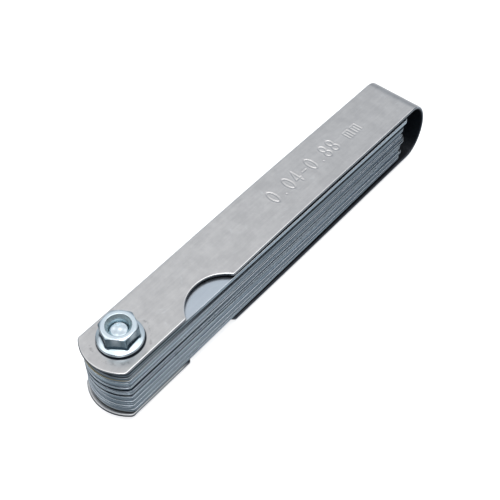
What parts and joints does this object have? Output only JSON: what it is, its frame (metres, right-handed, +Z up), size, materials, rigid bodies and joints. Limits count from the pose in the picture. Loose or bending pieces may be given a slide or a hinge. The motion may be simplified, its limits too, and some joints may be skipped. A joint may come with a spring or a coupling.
{
  "type": "feeler gauge",
  "caption": "Feeler gauge: a pack of steel thickness leaves and one brass leaf on a pivot bolt with a flange nut, folded into a U-shaped steel case with thumb notches.",
  "frame": {"origin": "under the middle of the closed gauge, level with the underside of the bolt head", "axes": "+X along the case from the pivot to the bend, +Y across the leaves, +Z up through the nut"},
  "size_m": [0.101, 0.0138, 0.0211],
  "materials": {
    "case_steel": "bright rolled steel, bent and stamped, lightly brushed",
    "leaf_steel": "polished spring steel with sheared edges",
    "leaf_brass": "rolled brass",
    "zinc_plate": "bright zinc plate on a cold-formed nut and bolt"
  },
  "bodies": {
    "case": {"case": "case_steel", "pivot_bolt": "zinc_plate"},
    "nut": {"flange_nut": "zinc_plate"},
    "leaf_088": {"leaf_088": "leaf_steel"},
    "leaf_075": {"leaf_075": "leaf_steel"},
    "leaf_025_brass": {"leaf_025_brass": "leaf_brass"},
    "leaf_065": {"leaf_065": "leaf_steel"},
    "leaf_060": {"leaf_060": "leaf_steel"},
    "leaf_055": {"leaf_055": "leaf_steel"},
    "leaf_050": {"leaf_050": "leaf_steel"},
    "leaf_045": {"leaf_045": "leaf_steel"},
    "leaf_040": {"leaf_040": "leaf_steel"},
    "leaf_035": {"leaf_035": "leaf_steel"},
    "leaf_030": {"leaf_030": "leaf_steel"},
    "leaf_025": {"leaf_025": "leaf_steel"},
    "leaf_020": {"leaf_020": "leaf_steel"},
    "leaf_015": {"leaf_015": "leaf_steel"},
    "leaf_010": {"leaf_010": "leaf_steel"},
    "leaf_006": {"leaf_006": "leaf_steel"},
    "leaf_004": {"leaf_004": "leaf_steel"},
    "leaf_005": {"leaf_005": "leaf_steel"},
    "leaf_008": {"leaf_008": "leaf_steel"},
    "leaf_013": {"leaf_013": "leaf_steel"},
    "leaf_018": {"leaf_018": "leaf_steel"},
    "leaf_023": {"leaf_023": "leaf_steel"},
    "leaf_028": {"leaf_028": "leaf_steel"},
    "leaf_033": {"leaf_033": "leaf_steel"},
    "leaf_038": {"leaf_038": "leaf_steel"},
    "leaf_043": {"leaf_043": "leaf_steel"},
    "leaf_048": {"leaf_048": "leaf_steel"},
    "leaf_053": {"leaf_053": "leaf_steel"},
    "leaf_058": {"leaf_058": "leaf_steel"},
    "leaf_063": {"leaf_063": "leaf_steel"},
    "leaf_070": {"leaf_070": "leaf_steel"},
    "leaf_080": {"leaf_080": "leaf_steel"}
  },
  "joints": [
    {"name": "nut_turn", "type": "hinge", "parent": "case", "child": "nut", "pos_m": [-0.04267, 0, 0.0167], "axis": [0, 0, 1], "range_deg": [0, 360]},
    {"name": "swing_088", "type": "hinge", "parent": "case", "child": "leaf_088", "pos_m": [-0.04267, 0, 0.00903], "axis": [0, 0, 1], "range_deg": [-180, 180]},
    {"name": "swing_075", "type": "hinge", "parent": "case", "child": "leaf_075", "pos_m": [-0.04267, 0, 0.00903], "axis": [0, 0, 1], "range_deg": [-180, 180]},
    {"name": "swing_025_brass", "type": "hinge", "parent": "case", "child": "leaf_025_brass", "pos_m": [-0.04267, 0, 0.00903], "axis": [0, 0, 1], "range_deg": [-180, 180]},
    {"name": "swing_065", "type": "hinge", "parent": "case", "child": "leaf_065", "pos_m": [-0.04267, 0, 0.00903], "axis": [0, 0, 1], "range_deg": [-180, 180]},
    {"name": "swing_060", "type": "hinge", "parent": "case", "child": "leaf_060", "pos_m": [-0.04267, 0, 0.00903], "axis": [0, 0, 1], "range_deg": [-180, 180]},
    {"name": "swing_055", "type": "hinge", "parent": "case", "child": "leaf_055", "pos_m": [-0.04267, 0, 0.00903], "axis": [0, 0, 1], "range_deg": [-180, 180]},
    {"name": "swing_050", "type": "hinge", "parent": "case", "child": "leaf_050", "pos_m": [-0.04267, 0, 0.00903], "axis": [0, 0, 1], "range_deg": [-180, 180]},
    {"name": "swing_045", "type": "hinge", "parent": "case", "child": "leaf_045", "pos_m": [-0.04267, 0, 0.00903], "axis": [0, 0, 1], "range_deg": [-180, 180]},
    {"name": "swing_040", "type": "hinge", "parent": "case", "child": "leaf_040", "pos_m": [-0.04267, 0, 0.00903], "axis": [0, 0, 1], "range_deg": [-180, 180]},
    {"name": "swing_035", "type": "hinge", "parent": "case", "child": "leaf_035", "pos_m": [-0.04267, 0, 0.00903], "axis": [0, 0, 1], "range_deg": [-180, 180]},
    {"name": "swing_030", "type": "hinge", "parent": "case", "child": "leaf_030", "pos_m": [-0.04267, 0, 0.00903], "axis": [0, 0, 1], "range_deg": [-180, 180]},
    {"name": "swing_025", "type": "hinge", "parent": "case", "child": "leaf_025", "pos_m": [-0.04267, 0, 0.00903], "axis": [0, 0, 1], "range_deg": [-180, 180]},
    {"name": "swing_020", "type": "hinge", "parent": "case", "child": "leaf_020", "pos_m": [-0.04267, 0, 0.00903], "axis": [0, 0, 1], "range_deg": [-180, 180]},
    {"name": "swing_015", "type": "hinge", "parent": "case", "child": "leaf_015", "pos_m": [-0.04267, 0, 0.00903], "axis": [0, 0, 1], "range_deg": [-180, 180]},
    {"name": "swing_010", "type": "hinge", "parent": "case", "child": "leaf_010", "pos_m": [-0.04267, 0, 0.00903], "axis": [0, 0, 1], "range_deg": [-180, 180]},
    {"name": "swing_006", "type": "hinge", "parent": "case", "child": "leaf_006", "pos_m": [-0.04267, 0, 0.00903], "axis": [0, 0, 1], "range_deg": [-180, 180]},
    {"name": "swing_004", "type": "hinge", "parent": "case", "child": "leaf_004", "pos_m": [-0.04267, 0, 0.00903], "axis": [0, 0, 1], "range_deg": [-180, 180]},
    {"name": "swing_005", "type": "hinge", "parent": "case", "child": "leaf_005", "pos_m": [-0.04267, 0, 0.00903], "axis": [0, 0, 1], "range_deg": [-180, 180]},
    {"name": "swing_008", "type": "hinge", "parent": "case", "child": "leaf_008", "pos_m": [-0.04267, 0, 0.00903], "axis": [0, 0, 1], "range_deg": [-180, 180]},
    {"name": "swing_013", "type": "hinge", "parent": "case", "child": "leaf_013", "pos_m": [-0.04267, 0, 0.00903], "axis": [0, 0, 1], "range_deg": [-180, 180]},
    {"name": "swing_018", "type": "hinge", "parent": "case", "child": "leaf_018", "pos_m": [-0.04267, 0, 0.00903], "axis": [0, 0, 1], "range_deg": [-180, 180]},
    {"name": "swing_023", "type": "hinge", "parent": "case", "child": "leaf_023", "pos_m": [-0.04267, 0, 0.00903], "axis": [0, 0, 1], "range_deg": [-180, 180]},
    {"name": "swing_028", "type": "hinge", "parent": "case", "child": "leaf_028", "pos_m": [-0.04267, 0, 0.00903], "axis": [0, 0, 1], "range_deg": [-180, 180]},
    {"name": "swing_033", "type": "hinge", "parent": "case", "child": "leaf_033", "pos_m": [-0.04267, 0, 0.00903], "axis": [0, 0, 1], "range_deg": [-180, 180]},
    {"name": "swing_038", "type": "hinge", "parent": "case", "child": "leaf_038", "pos_m": [-0.04267, 0, 0.00903], "axis": [0, 0, 1], "range_deg": [-180, 180]},
    {"name": "swing_043", "type": "hinge", "parent": "case", "child": "leaf_043", "pos_m": [-0.04267, 0, 0.00903], "axis": [0, 0, 1], "range_deg": [-180, 180]},
    {"name": "swing_048", "type": "hinge", "parent": "case", "child": "leaf_048", "pos_m": [-0.04267, 0, 0.00903], "axis": [0, 0, 1], "range_deg": [-180, 180]},
    {"name": "swing_053", "type": "hinge", "parent": "case", "child": "leaf_053", "pos_m": [-0.04267, 0, 0.00903], "axis": [0, 0, 1], "range_deg": [-180, 180]},
    {"name": "swing_058", "type": "hinge", "parent": "case", "child": "leaf_058", "pos_m": [-0.04267, 0, 0.00903], "axis": [0, 0, 1], "range_deg": [-180, 180]},
    {"name": "swing_063", "type": "hinge", "parent": "case", "child": "leaf_063", "pos_m": [-0.04267, 0, 0.00903], "axis": [0, 0, 1], "range_deg": [-180, 180]},
    {"name": "swing_070", "type": "hinge", "parent": "case", "child": "leaf_070", "pos_m": [-0.04267, 0, 0.00903], "axis": [0, 0, 1], "range_deg": [-180, 180]},
    {"name": "swing_080", "type": "hinge", "parent": "case", "child": "leaf_080", "pos_m": [-0.04267, 0, 0.00903], "axis": [0, 0, 1], "range_deg": [-180, 180]}
  ]
}
